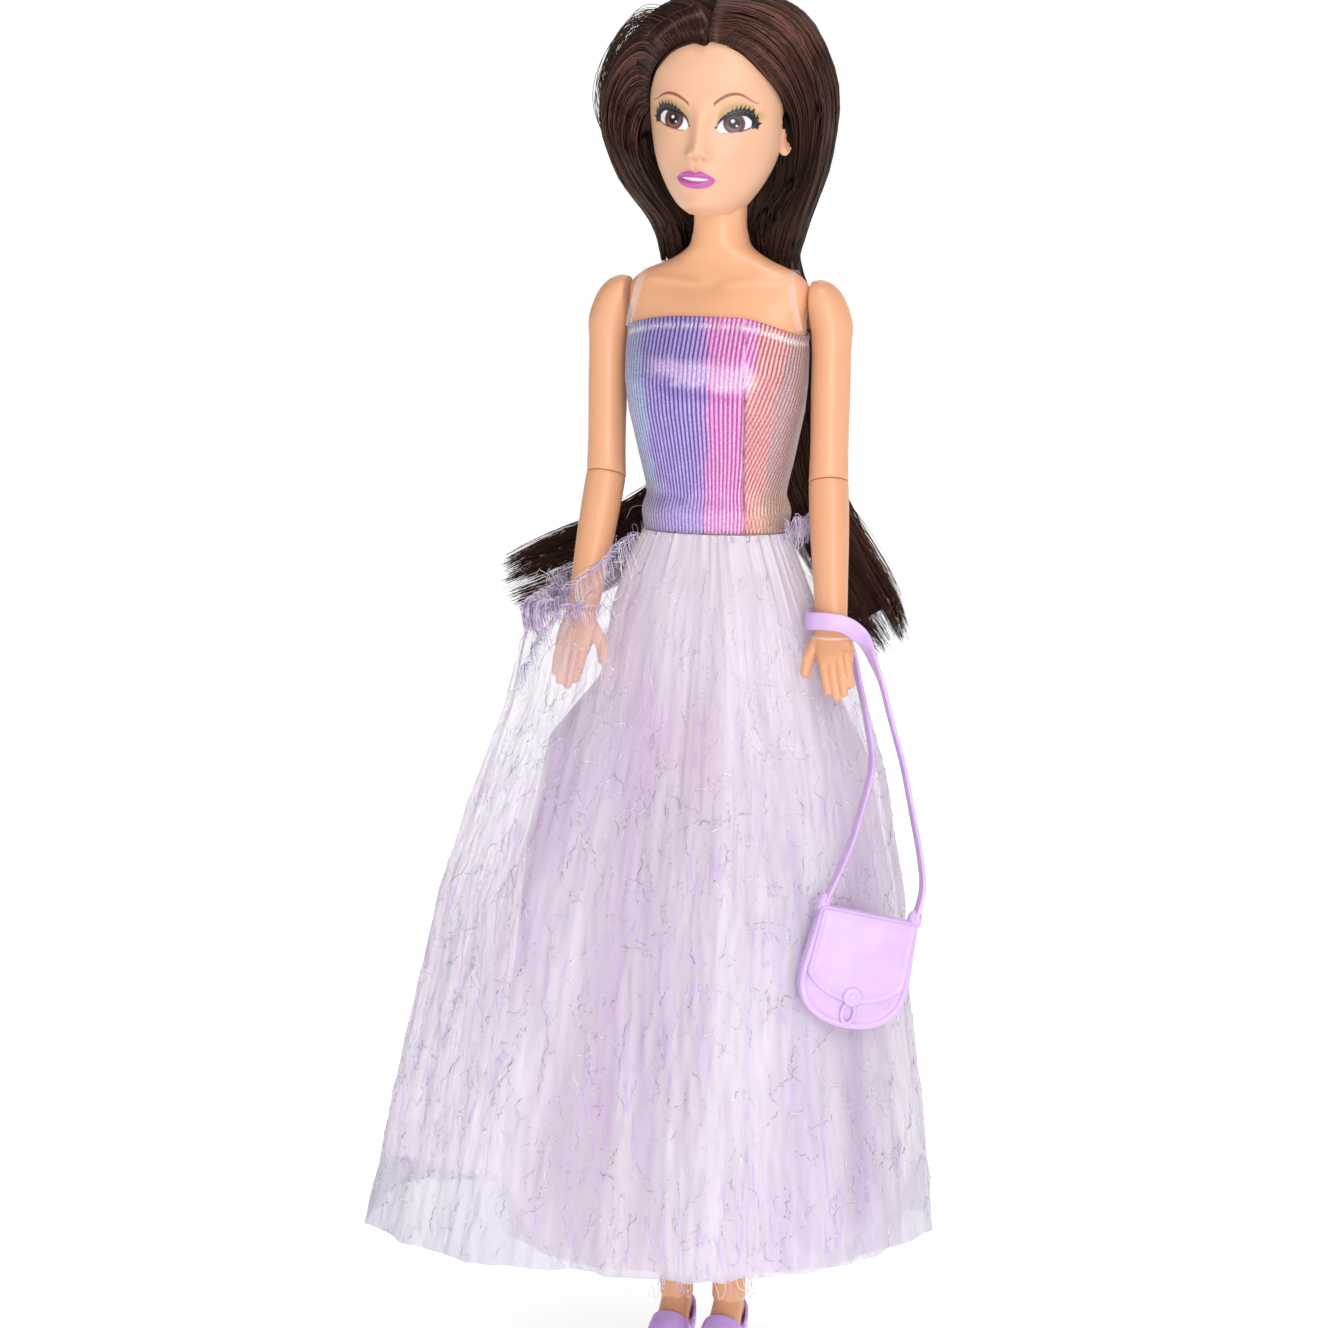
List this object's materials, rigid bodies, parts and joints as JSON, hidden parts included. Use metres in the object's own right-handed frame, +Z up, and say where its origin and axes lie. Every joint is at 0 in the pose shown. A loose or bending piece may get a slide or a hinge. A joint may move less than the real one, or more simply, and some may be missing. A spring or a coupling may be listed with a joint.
{
  "type": "fashion doll",
  "caption": "Standing fashion doll with long dark hair, a ribbed metallic bodice, a long sheer-over-satin gown, heeled sandals and a small shoulder bag on its left wrist.",
  "frame": {"origin": "middle of the doll's outline on the floor it stands on", "axes": "+Z up, the doll faces -Y, its own left hand is on +X"},
  "size_m": [0.1206, 0.0758, 0.2902],
  "materials": {
    "body_plastic": "moulded skin-tone plastic, satin",
    "face_vinyl": "soft vinyl, rotationally moulded, painted features",
    "hair_fibre": "rooted synthetic fibre, silky",
    "metallic_knit": "ribbed metallic knit with changing colours",
    "closure_tape": "hook-and-loop tape",
    "satin": "polyester satin",
    "tinsel_organza": "crinkled sheer organza with tinsel threads",
    "clear_plastic": "clear elastic plastic",
    "bag_plastic": "moulded soft plastic, satin",
    "shoe_plastic": "moulded plastic, glossy",
    "steel_pin": "drawn pin"
  },
  "bodies": {
    "torso": {"torso_front": "body_plastic", "torso_back": "body_plastic", "bodice": "metallic_knit", "closure_tape": "closure_tape", "skirt_lining": "satin", "skirt_overlay": "tinsel_organza", "shoulder_strap_left": "clear_plastic", "shoulder_strap_right": "clear_plastic", "hair_fall": "hair_fibre"},
    "head": {"head_shell": "face_vinyl", "hair_crown": "hair_fibre"},
    "upper_arm_left": {"upper_arm_left": "body_plastic"},
    "forearm_left": {"forearm_left": "body_plastic", "wrist_loop": "clear_plastic"},
    "bag": {"bag_body": "bag_plastic", "bag_strap": "bag_plastic"},
    "upper_arm_right": {"upper_arm_right": "body_plastic"},
    "forearm_right": {"forearm_right": "body_plastic"},
    "thigh_left": {"thigh_left": "body_plastic", "knee_pin_left": "steel_pin"},
    "shin_left": {"shin_left": "body_plastic", "shoe_left": "shoe_plastic"},
    "thigh_right": {"thigh_right": "body_plastic", "knee_pin_right": "steel_pin"},
    "shin_right": {"shin_right": "body_plastic", "shoe_right": "shoe_plastic"}
  },
  "joints": [
    {"name": "head_turn", "type": "hinge", "parent": "torso", "child": "head", "pos_m": [0.00896, 0.00573, 0.2471], "axis": [0, 0, 1], "range_deg": [-60, 60]},
    {"name": "left_shoulder", "type": "hinge", "parent": "torso", "child": "upper_arm_left", "pos_m": [0.03301, 0.00671, 0.2266], "axis": [-1, 0, 0], "range_deg": [0, 120]},
    {"name": "left_forearm_turn", "type": "hinge", "parent": "upper_arm_left", "child": "forearm_left", "pos_m": [0.03301, 0.00521, 0.1894], "axis": [-0.1283, 0.3467, 0.9292], "range_deg": [-25, 35]},
    {"name": "bag_swing", "type": "hinge", "parent": "forearm_left", "child": "bag", "pos_m": [0.03671, -0.00479, 0.1626], "axis": [-0.8829, -0.4695, 0], "range_deg": [0, 40], "deforming": ["bag_strap"]},
    {"name": "right_shoulder", "type": "hinge", "parent": "torso", "child": "upper_arm_right", "pos_m": [-0.01509, 0.00671, 0.2266], "axis": [-1, 0, 0], "range_deg": [0, 120], "deforming": ["skirt_overlay"]},
    {"name": "right_forearm_turn", "type": "hinge", "parent": "upper_arm_right", "child": "forearm_right", "pos_m": [-0.01509, 0.00521, 0.1894], "axis": [0.0558, 0.349, 0.9355], "range_deg": [-40, 40], "deforming": ["skirt_overlay"]},
    {"name": "left_hip", "type": "hinge", "parent": "torso", "child": "thigh_left", "pos_m": [0.01696, 0.00521, 0.158], "axis": [-1, 0, 0], "range_deg": [-10, 12]},
    {"name": "left_knee", "type": "hinge", "parent": "thigh_left", "child": "shin_left", "pos_m": [0.01577, 0.00288, 0.085], "axis": [1, 0, 0], "range_deg": [0, 20]},
    {"name": "right_hip", "type": "hinge", "parent": "torso", "child": "thigh_right", "pos_m": [0.00096, 0.00521, 0.158], "axis": [-1, 0, 0], "range_deg": [-10, 12]},
    {"name": "right_knee", "type": "hinge", "parent": "thigh_right", "child": "shin_right", "pos_m": [0.00215, 0.00288, 0.085], "axis": [1, 0, 0], "range_deg": [0, 20]}
  ]
}
